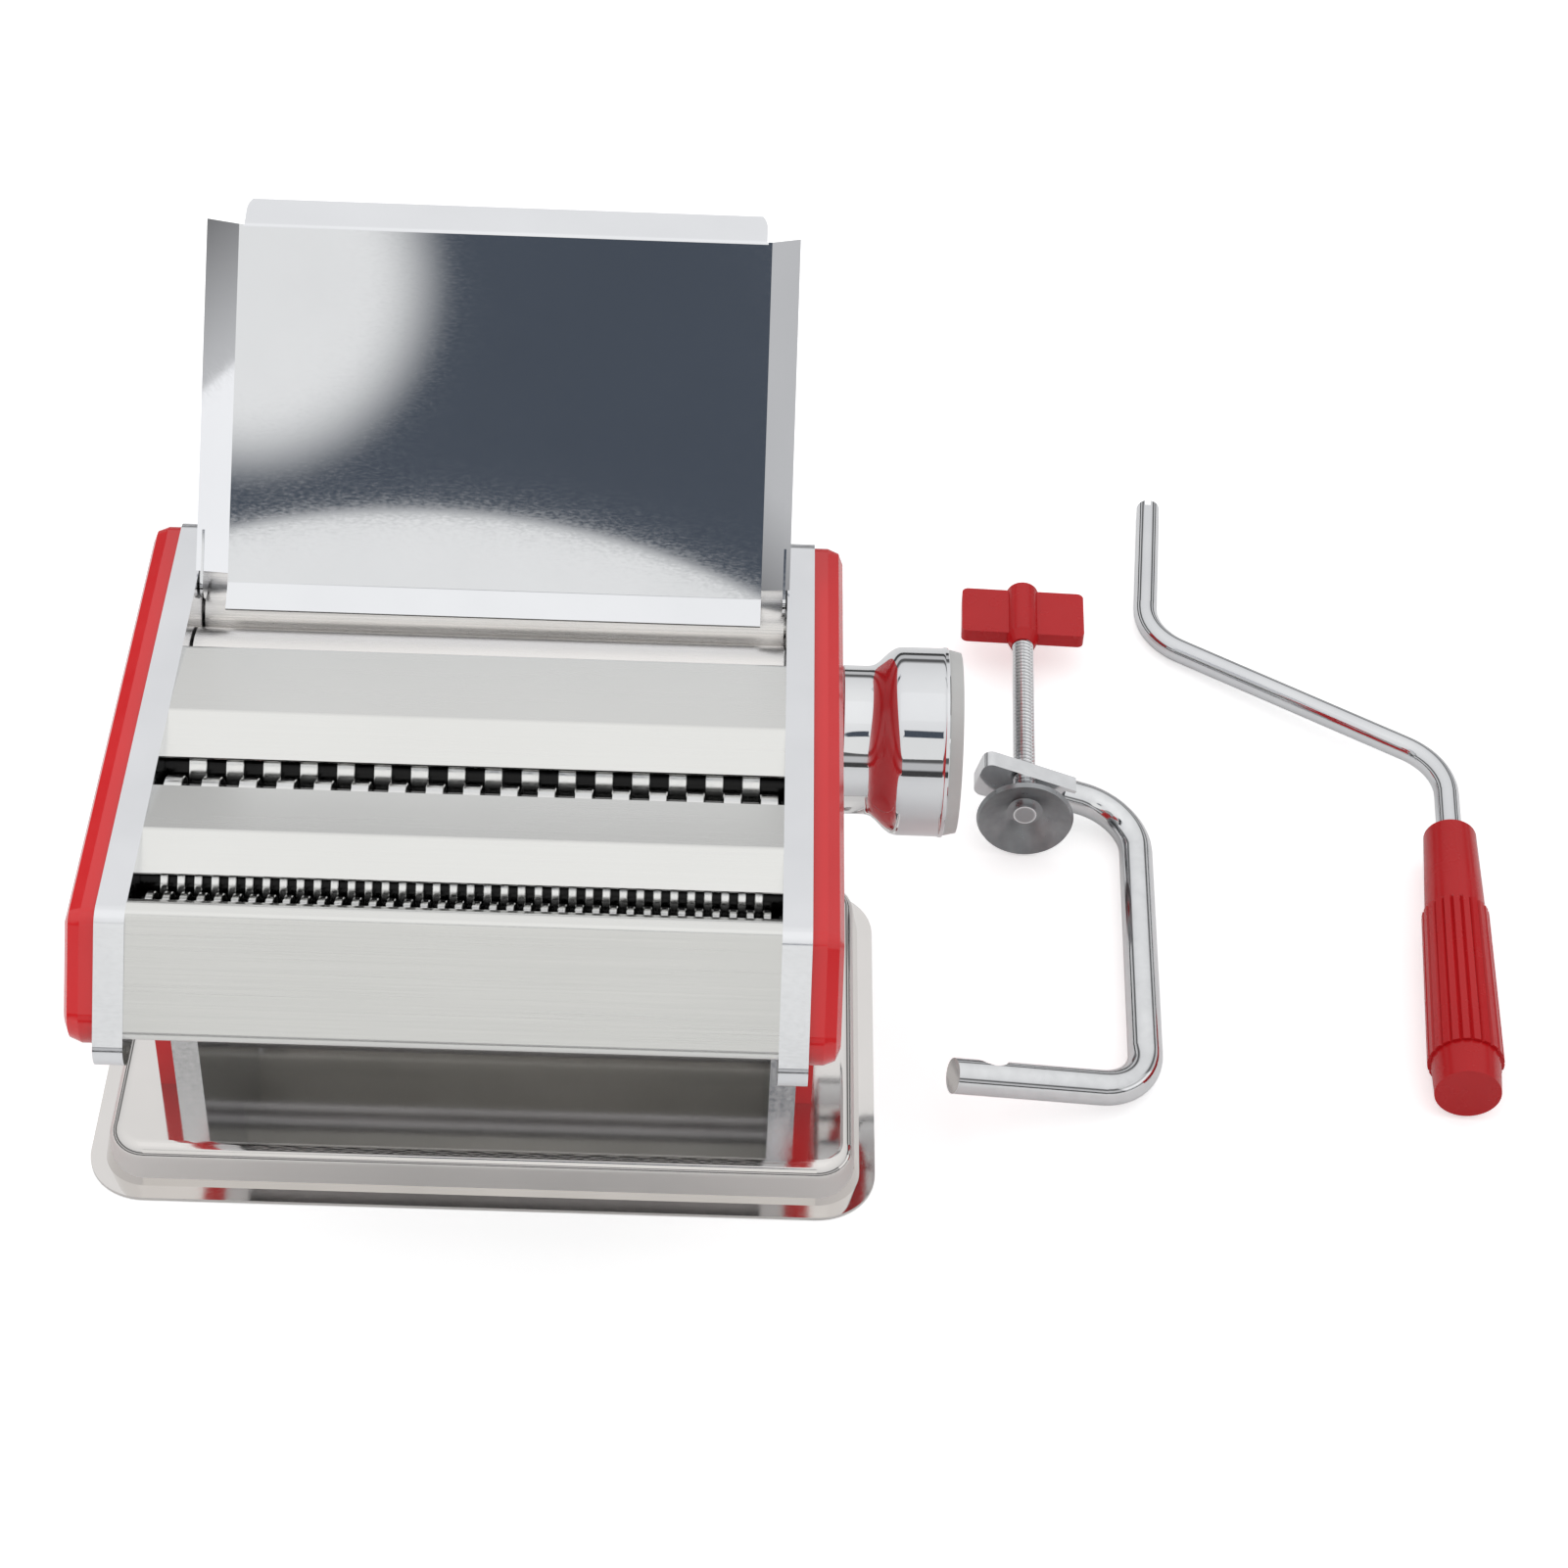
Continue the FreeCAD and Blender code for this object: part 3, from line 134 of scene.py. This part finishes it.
def camera_axes():
    """Right, up and forward of the photograph's camera."""
    flat = math.cos(CAMERA_PITCH)
    forward = Vector((math.sin(CAMERA_YAW) * flat, math.cos(CAMERA_YAW) * flat, -math.sin(CAMERA_PITCH)))
    level = Vector((math.cos(CAMERA_YAW), -math.sin(CAMERA_YAW), 0))
    raised = level.cross(forward)
    right = level * math.cos(CAMERA_ROLL) + raised * math.sin(CAMERA_ROLL)
    up = raised * math.cos(CAMERA_ROLL) - level * math.sin(CAMERA_ROLL)
    return right, up, forward


def add_camera():
    right, up, forward = camera_axes()
    data = bpy.data.cameras.new("photo_camera")
    data.sensor_width = SENSOR
    data.lens = SENSOR * FOCAL_PIXELS / IMAGE_SIDE
    camera = bpy.data.objects.new("photo_camera", data)
    facing = Matrix((right, up, -forward)).transposed()
    camera.matrix_world = Matrix.Translation(CAMERA_PLACE) @ facing.to_4x4()
    bpy.context.scene.collection.objects.link(camera)
    bpy.context.scene.camera = camera


# Materials

class Finish:
    """A Principled material with its node tree at hand."""

    def __init__(self, name, colour, metallic, roughness):
        self.material = bpy.data.materials.new(name)
        self.material.use_nodes = True
        self.nodes = self.material.node_tree.nodes
        self.links = self.material.node_tree.links
        self.shader = self.nodes["Principled BSDF"]
        self.shader.inputs["Base Color"].default_value = (*colour, 1)
        self.shader.inputs["Metallic"].default_value = metallic
        self.shader.inputs["Roughness"].default_value = roughness
        self.coords = self.nodes.new("ShaderNodeTexCoord")

    def noise(self, scale, stretch=(1, 1, 1), detail=4):
        """Noise over the object's own coordinates, stretched along an axis for brushed metal."""
        mapping = self.nodes.new("ShaderNodeMapping")
        mapping.inputs["Scale"].default_value = stretch
        texture = self.nodes.new("ShaderNodeTexNoise")
        texture.inputs["Scale"].default_value = scale
        texture.inputs["Detail"].default_value = detail
        self.links.new(self.coords.outputs["Object"], mapping.inputs["Vector"])
        self.links.new(mapping.outputs["Vector"], texture.inputs["Vector"])
        return texture.outputs["Fac"]

    def ramp(self, factor, low, high, start=0.3, end=0.7):
        """A colour or grey that runs from low to high with the factor."""
        ramp = self.nodes.new("ShaderNodeValToRGB")
        ramp.color_ramp.elements[0].position = start
        ramp.color_ramp.elements[1].position = end
        ramp.color_ramp.elements[0].color = (*low, 1)
        ramp.color_ramp.elements[1].color = (*high, 1)
        self.links.new(factor, ramp.inputs["Fac"])
        return ramp.outputs["Color"]

    def vary_roughness(self, factor, low, high):
        spread = self.nodes.new("ShaderNodeMapRange")
        spread.inputs["From Min"].default_value = 0.3
        spread.inputs["From Max"].default_value = 0.7
        spread.inputs["To Min"].default_value = low
        spread.inputs["To Max"].default_value = high
        self.links.new(factor, spread.inputs["Value"])
        self.links.new(spread.outputs["Result"], self.shader.inputs["Roughness"])

    def vary_colour(self, factor, low, high):
        self.links.new(self.ramp(factor, low, high), self.shader.inputs["Base Color"])

    def bump(self, factor, strength, distance):
        bump = self.nodes.new("ShaderNodeBump")
        bump.inputs["Strength"].default_value = strength
        bump.inputs["Distance"].default_value = distance
        self.links.new(factor, bump.inputs["Height"])
        self.links.new(bump.outputs["Normal"], self.shader.inputs["Normal"])


def satin_steel(name, low, high, rough_low, rough_high):
    """Satin sheet: fine streaks along X in gloss and relief, and a slow drift of tone."""
    finish = Finish(name, high, 1.0, rough_high)
    streaks = finish.noise(1.0, (14, 2600, 2600), 5)
    finish.vary_colour(finish.noise(22), low, high)
    finish.vary_roughness(streaks, rough_low, rough_high)
    finish.bump(streaks, 0.03, 0.00002)
    return finish.material


def polished_metal(name, low, high, rough_low, rough_high):
    """Polished plate: nearly even, with faint wiping marks and fine scratches in its gloss."""
    finish = Finish(name, high, 1.0, rough_low)
    finish.vary_colour(finish.noise(35), low, high)
    finish.vary_roughness(finish.noise(700, (1, 4, 1), 4), rough_low, rough_high)
    return finish.material


def plated_metal(name, low, high, rough_low, rough_high):
    """Plated bar: bright, with a fine pitted skin."""
    finish = Finish(name, high, 1.0, rough_low)
    finish.vary_colour(finish.noise(260, detail=6), low, high)
    finish.vary_roughness(finish.noise(420, detail=6), rough_low, rough_high)
    finish.bump(finish.noise(1200, detail=3), 0.03, 0.00002)
    return finish.material


def groove_shaded_metal(name, across, radii, root, crest, rough_low, rough_high):
    """Turned metal with painted shade in its grooves: the colour darkens towards the groove root with the
    distance from the piece's own axis.
    """
    finish = Finish(name, crest, 1.0, rough_low)
    flat = finish.nodes.new("ShaderNodeVectorMath")
    flat.operation = "MULTIPLY"
    flat.inputs[1].default_value = across
    finish.links.new(finish.coords.outputs["Object"], flat.inputs[0])
    radius = finish.nodes.new("ShaderNodeVectorMath")
    radius.operation = "LENGTH"
    finish.links.new(flat.outputs["Vector"], radius.inputs[0])
    depth = finish.nodes.new("ShaderNodeMapRange")
    depth.inputs["From Min"].default_value = radii[0] * MM
    depth.inputs["From Max"].default_value = radii[1] * MM
    finish.links.new(radius.outputs["Value"], depth.inputs["Value"])
    # Painted shade: dark at the groove root, bright at the crest
    shade = finish.ramp(depth.outputs["Result"], root, crest, 0.1, 0.9)
    finish.links.new(shade, finish.shader.inputs["Base Color"])
    finish.vary_roughness(finish.noise(500, detail=5), rough_low, rough_high)
    return finish.material


def gloss_red(name, low, high, roughness, grain, coat, shine):
    """Glossy red shell: slight tone drift and a fine skin."""
    finish = Finish(name, high, 0.0, roughness)
    finish.shader.inputs["Coat Weight"].default_value = coat
    finish.shader.inputs["Specular IOR Level"].default_value = shine
    finish.shader.inputs["Coat Roughness"].default_value = 0.05
    finish.vary_colour(finish.noise(18, detail=3), low, high)
    finish.vary_roughness(finish.noise(120, detail=6), roughness * 0.8, roughness * 1.3)
    finish.bump(finish.noise(grain, detail=2), 0.04, 0.00003)
    return finish.material


def moulded(name, low, high, roughness):
    """Matt moulded plastic with a fine grain."""
    finish = Finish(name, high, 0.0, roughness)
    finish.vary_colour(finish.noise(40), low, high)
    finish.vary_roughness(finish.noise(300), roughness * 0.85, roughness * 1.15)
    finish.bump(finish.noise(2600, detail=2), 0.12, 0.00004)
    return finish.material


def make_materials():
    """One material for each finish, by the finish's name."""
    recipes = {
        "polished_steel": (polished_metal, (0.77, 0.78, 0.80), (0.80, 0.81, 0.83), 0.02, 0.05),
        "base_steel": (polished_metal, (0.74, 0.72, 0.70), (0.78, 0.755, 0.735), 0.04, 0.09),
        "trim_steel": (polished_metal, (0.76, 0.77, 0.79), (0.82, 0.83, 0.85), 0.10, 0.17),
        "satin_panel": (satin_steel, (0.75, 0.75, 0.73), (0.77, 0.77, 0.75), 0.22, 0.28),
        "red_cover": (gloss_red, (0.68, 0.010, 0.014), (0.74, 0.014, 0.018), 0.16, 1500, 0.4, 0.5),
        # Steel of the inner parts, its own grey set darker to stand for the shade inside the machine: partly
        # painted shade
        "plain_steel": (satin_steel, (0.42, 0.42, 0.43), (0.50, 0.50, 0.51), 0.30, 0.45),
        "white_plastic": (moulded, (0.62, 0.62, 0.59), (0.70, 0.70, 0.67), 0.5),
        "satin_roller": (satin_steel, (0.84, 0.82, 0.80), (0.90, 0.88, 0.86), 0.22, 0.34),
        # Near-black ring roots: painted shade in the cutters' grooves, partly oil
        "cutter_chrome": (
            groove_shaded_metal, (0, 1, 1), (SHADE_FROM, SHADE_TO),
            (0.02, 0.02, 0.02), (0.86, 0.86, 0.85), 0.14, 0.24),
        "bright_chrome": (polished_metal, (0.72, 0.73, 0.75), (0.78, 0.79, 0.80), 0.03, 0.06),
        "grey_plastic": (moulded, (0.52, 0.52, 0.51), (0.60, 0.60, 0.59), 0.40),
        "red_handle": (gloss_red, (0.50, 0.008, 0.011), (0.57, 0.012, 0.016), 0.24, 2200, 0.05, 0.3),
        "dull_zinc": (plated_metal, (0.30, 0.31, 0.32), (0.38, 0.39, 0.40), 0.26, 0.38),
        # Darker thread roots: painted shade in the thread's grooves
        "zinc_thread": (
            groove_shaded_metal, (1, 0, 1), (CORE_R, SCREW_R), (0.42, 0.42, 0.43), (0.92, 0.93, 0.94), 0.16, 0.28),
        "zinc_plate": (plated_metal, (0.74, 0.75, 0.76), (0.80, 0.81, 0.82), 0.07, 0.12),
    }
    return {name: make(name, *values) for name, (make, *values) in recipes.items()}


def dress_nodes(materials):
    """Each CAD node takes the finish of its slot in the record; the base and the cup have their own."""
    for part in frame["record"]["subparts"]:
        node = frame["nodes"][part["node"]]
        node.data.materials.clear()
        node.data.materials.append(materials[part["material_slot"]])
    frame["nodes"]["base_tray"].data.materials[0] = materials["base_steel"]
    frame["nodes"]["clamp_cup"].data.materials[0] = materials["dull_zinc"]


# Pieces that stand for CAD nodes with finer form

def turn(mesh, profile, steps):
    """Rings of vertices turned about X from (x, radius) points, joined by faces."""
    rings = []
    for x, radius in profile:
        ring = []
        for step in range(steps):
            angle = 2 * math.pi * step / steps
            y = radius * MM * math.cos(angle)
            z = radius * MM * math.sin(angle)
            ring.append(mesh.verts.new((x * MM, y, z)))
        rings.append(ring)
    for inner, outer in zip(rings, rings[1:]):
        for step in range(steps):
            after = (step + 1) % steps
            mesh.faces.new((inner[step], inner[after], outer[after], outer[step]))
    return rings


def lathe(name, profile, steps):
    """Solid turned about X, closed at both ends."""
    mesh = bmesh.new()
    rings = turn(mesh, profile, steps)
    mesh.faces.new(rings[0])
    mesh.faces.new(rings[-1])
    return finish_mesh(name, mesh)


def finish_mesh(name, mesh):
    bmesh.ops.recalc_face_normals(mesh, faces=mesh.faces)
    data = bpy.data.meshes.new(name)
    mesh.to_mesh(data)
    mesh.free()
    data.shade_smooth()
    data.set_sharp_from_angle(angle=SHARP_ANGLE)
    piece = bpy.data.objects.new(name, data)
    bpy.context.scene.collection.objects.link(piece)
    return piece


def stand_for(piece, node, body, slot, materials):
    piece.data.materials.append(materials[slot])
    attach(piece, body)
    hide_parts(node)


def ring_profile(pitch, rings):
    """Round rings with softened edges over the whole roller, with plain journals."""
    half = pitch / 4 - RING_SIDE_GAP / 2
    points = [(-JOURNAL_END, JOURNAL_R), (-ROLLER_HALF, JOURNAL_R), (-ROLLER_HALF, GROOVE_R)]
    for index in range(rings):
        x = (index - (rings - 1) / 2) * pitch
        points += [
            (x - half, GROOVE_R), (x - half, CUTTER_R - RING_BEVEL), (x - half + RING_BEVEL, CUTTER_R),
            (x + half - RING_BEVEL, CUTTER_R), (x + half, CUTTER_R - RING_BEVEL), (x + half, GROOVE_R),
        ]
    return points + [(ROLLER_HALF, GROOVE_R), (ROLLER_HALF, JOURNAL_R), (JOURNAL_END, JOURNAL_R)]


def add_cutters(materials):
    for node, (body, y, pitch, rings) in CUTTERS.items():
        piece = lathe(node + "_rings", ring_profile(pitch, rings), RING_STEPS)
        piece.location = (0, y * MM, CUTTER_Z * MM)
        # cutter_chrome paints shade, partly oil, into the ring roots
        stand_for(piece, node, body, "cutter_chrome", materials)


def add_knob(materials):
    """Knob with flowing steps, a thin end lip and the hollow that faces the machine."""
    mesh = bmesh.new()
    outside = turn(mesh, KNOB_OUTSIDE, KNOB_STEPS)
    hollow = turn(mesh, KNOB_HOLLOW, KNOB_STEPS)
    mesh.faces.new(outside[-1])
    mesh.faces.new(hollow[-1])
    bmesh.ops.remove_doubles(mesh, verts=mesh.verts, dist=1e-7)
    piece = finish_mesh("dial_knob_soft", mesh)
    piece.location = (0, DIAL_Y * MM, DIAL_Z * MM)
    stand_for(piece, "dial_knob", "dial", "bright_chrome", materials)


def add_thread(mesh):
    """Helical strip from crest to root to crest, as long as the spindle."""
    turns = (SCREW_TO - SCREW_FROM) / THREAD_PITCH
    rows = []
    for index in range(int(turns * THREAD_STEPS) + 1):
        angle = 2 * math.pi * index / THREAD_STEPS
        along = SCREW_FROM + THREAD_PITCH * index / THREAD_STEPS
        row = []
        for shift, radius in ((0.0, SCREW_R), (0.5, CORE_R), (1.0, SCREW_R)):
            x = radius * MM * math.cos(angle)
            y = min(along + shift * THREAD_PITCH, SCREW_TO)
            z = radius * MM * math.sin(angle)
            row.append(mesh.verts.new((x, y * MM, z)))
        rows.append(row)
    for before, after in zip(rows, rows[1:]):
        for side in (0, 1):
            mesh.faces.new((before[side], before[side + 1], after[side + 1], after[side]))


def add_cone(mesh, start_r, end_r, length, middle, turn_x):
    """Closed cone or cylinder along the screw, centred at its middle."""
    cone = bmesh.ops.create_cone(
        mesh, cap_ends=True, segments=CORE_SIDES, radius1=start_r * MM, radius2=end_r * MM, depth=length * MM)
    place = Matrix.Translation((0, middle * MM, 0)) @ Matrix.Rotation(math.radians(turn_x), 4, "X")
    bmesh.ops.transform(mesh, matrix=place, verts=cone["verts"])


def add_clamp_thread(materials):
    """Spindle with a rolled thread, its crests at the CAD spindle's radius."""
    mesh = bmesh.new()
    add_thread(mesh)
    add_cone(mesh, CORE_R, CORE_R, SCREW_TO - SCREW_FROM, (SCREW_FROM + SCREW_TO) / 2, 90)
    add_cone(mesh, TIP_R, TIP_END_R, TIP_LENGTH, TIP_MIDDLE, -90)
    piece = finish_mesh("clamp_screw_thread", mesh)
    piece.matrix_world = Matrix.Translation(CLAMP_PLACE * MM) @ Matrix.Rotation(CLAMP_TURN, 4, "Z")
    stand_for(piece, "clamp_screw", "clamp_screw", "zinc_plate", materials)
    # zinc_thread paints shade into the thread roots
    piece.data.materials[0] = materials["zinc_thread"]


# Stage

def cap(nodes, links, coords, centre, radius, soft):
    """Mask of a round patch of the room; centre and radius are slopes from the photograph's line of sight."""
    right, up, forward = camera_axes()
    toward = nodes.new("ShaderNodeVectorMath")
    toward.operation = "DOT_PRODUCT"
    toward.inputs[1].default_value = (right * centre[0] + up * centre[1] - forward).normalized()
    links.new(coords.outputs["Generated"], toward.inputs[0])
    edge = nodes.new("ShaderNodeMapRange")
    edge.interpolation_type = "SMOOTHSTEP"
    edge.inputs["From Min"].default_value = math.cos(math.atan(radius + soft))
    edge.inputs["From Max"].default_value = math.cos(math.atan(radius - soft))
    links.new(toward.outputs["Value"], edge.inputs["Value"])
    return edge.outputs["Result"]


def add_world():
    """White to the camera; for light and reflections a bright room, dark low down, with a dark wall behind
    the camera that leaves two pale patches on the hopper."""
    world = bpy.data.worlds.new("studio")
    bpy.context.scene.world = world
    world.use_nodes = True
    nodes, links = world.node_tree.nodes, world.node_tree.links
    nodes.clear()
    coords = nodes.new("ShaderNodeTexCoord")

    split = nodes.new("ShaderNodeSeparateXYZ")
    links.new(coords.outputs["Generated"], split.inputs["Vector"])
    height = nodes.new("ShaderNodeValToRGB")
    stops = height.color_ramp.elements
    for index, (place, shade) in enumerate(ROOM_BANDS):
        stop = stops[0] if index == 0 else stops.new(place)
        stop.position = place
        stop.color = (shade, shade, shade * 1.01, 1)
    stops.remove(stops[-1])
    links.new(split.outputs["Z"], height.inputs["Fac"])

    colour = height.outputs["Color"]
    for centre, radius, soft, shade in ROOM_PATCHES:
        patch = nodes.new("ShaderNodeMix")
        patch.data_type = "RGBA"
        patch.inputs["B"].default_value = shade
        links.new(cap(nodes, links, coords, centre, radius, soft), patch.inputs["Factor"])
        links.new(colour, patch.inputs["A"])
        colour = patch.outputs["Result"]

    rays = nodes.new("ShaderNodeLightPath")
    lit = nodes.new("ShaderNodeBackground")
    links.new(colour, lit.inputs["Color"])
    seen = nodes.new("ShaderNodeBackground")
    seen.inputs["Color"].default_value = (1, 1, 1, 1)
    choose = nodes.new("ShaderNodeMixShader")
    links.new(rays.outputs["Is Camera Ray"], choose.inputs["Fac"])
    links.new(lit.outputs["Background"], choose.inputs[1])
    links.new(seen.outputs["Background"], choose.inputs[2])
    output = nodes.new("ShaderNodeOutputWorld")
    links.new(choose.outputs["Shader"], output.inputs["Surface"])


def add_floor():
    """Pale floor that keeps the shadow, lifted to white where the camera looks at it."""
    mesh = bmesh.new()
    bmesh.ops.create_grid(mesh, x_segments=1, y_segments=1, size=FLOOR_HALF)
    floor = finish_mesh("floor", mesh)
    floor.location = (0, 0, -FLOOR_DROP)
    finish = Finish("floor_white", (0.9, 0.9, 0.9), 0.0, 0.9)
    finish.vary_colour(finish.noise(3, detail=2), (0.89, 0.89, 0.89), (0.91, 0.91, 0.91))
    finish.shader.inputs["Specular IOR Level"].default_value = 0.0
    rays = finish.nodes.new("ShaderNodeLightPath")
    finish.shader.inputs["Emission Color"].default_value = (0.5, 0.5, 0.5, 1)
    finish.links.new(rays.outputs["Is Camera Ray"], finish.shader.inputs["Emission Strength"])
    floor.data.materials.append(finish.material)


def add_light(name, place, size, power, glossy):
    data = bpy.data.lights.new(name, "AREA")
    data.shape = "RECTANGLE"
    data.size, data.size_y = size
    data.energy = power
    light = bpy.data.objects.new(name, data)
    aim = (Vector(LIGHT_TARGET) - Vector(place)).to_track_quat("-Z", "Y")
    light.matrix_world = Matrix.Translation(place) @ aim.to_matrix().to_4x4()
    light.visible_glossy = glossy
    bpy.context.scene.collection.objects.link(light)


def main():
    bpy.context.scene.view_settings.view_transform = "Standard"
    add_camera()
    add_world()
    add_floor()
    for light in LIGHTS:
        add_light(*light)
    materials = make_materials()
    dress_nodes(materials)
    add_cutters(materials)
    add_knob(materials)
    add_clamp_thread(materials)


main()
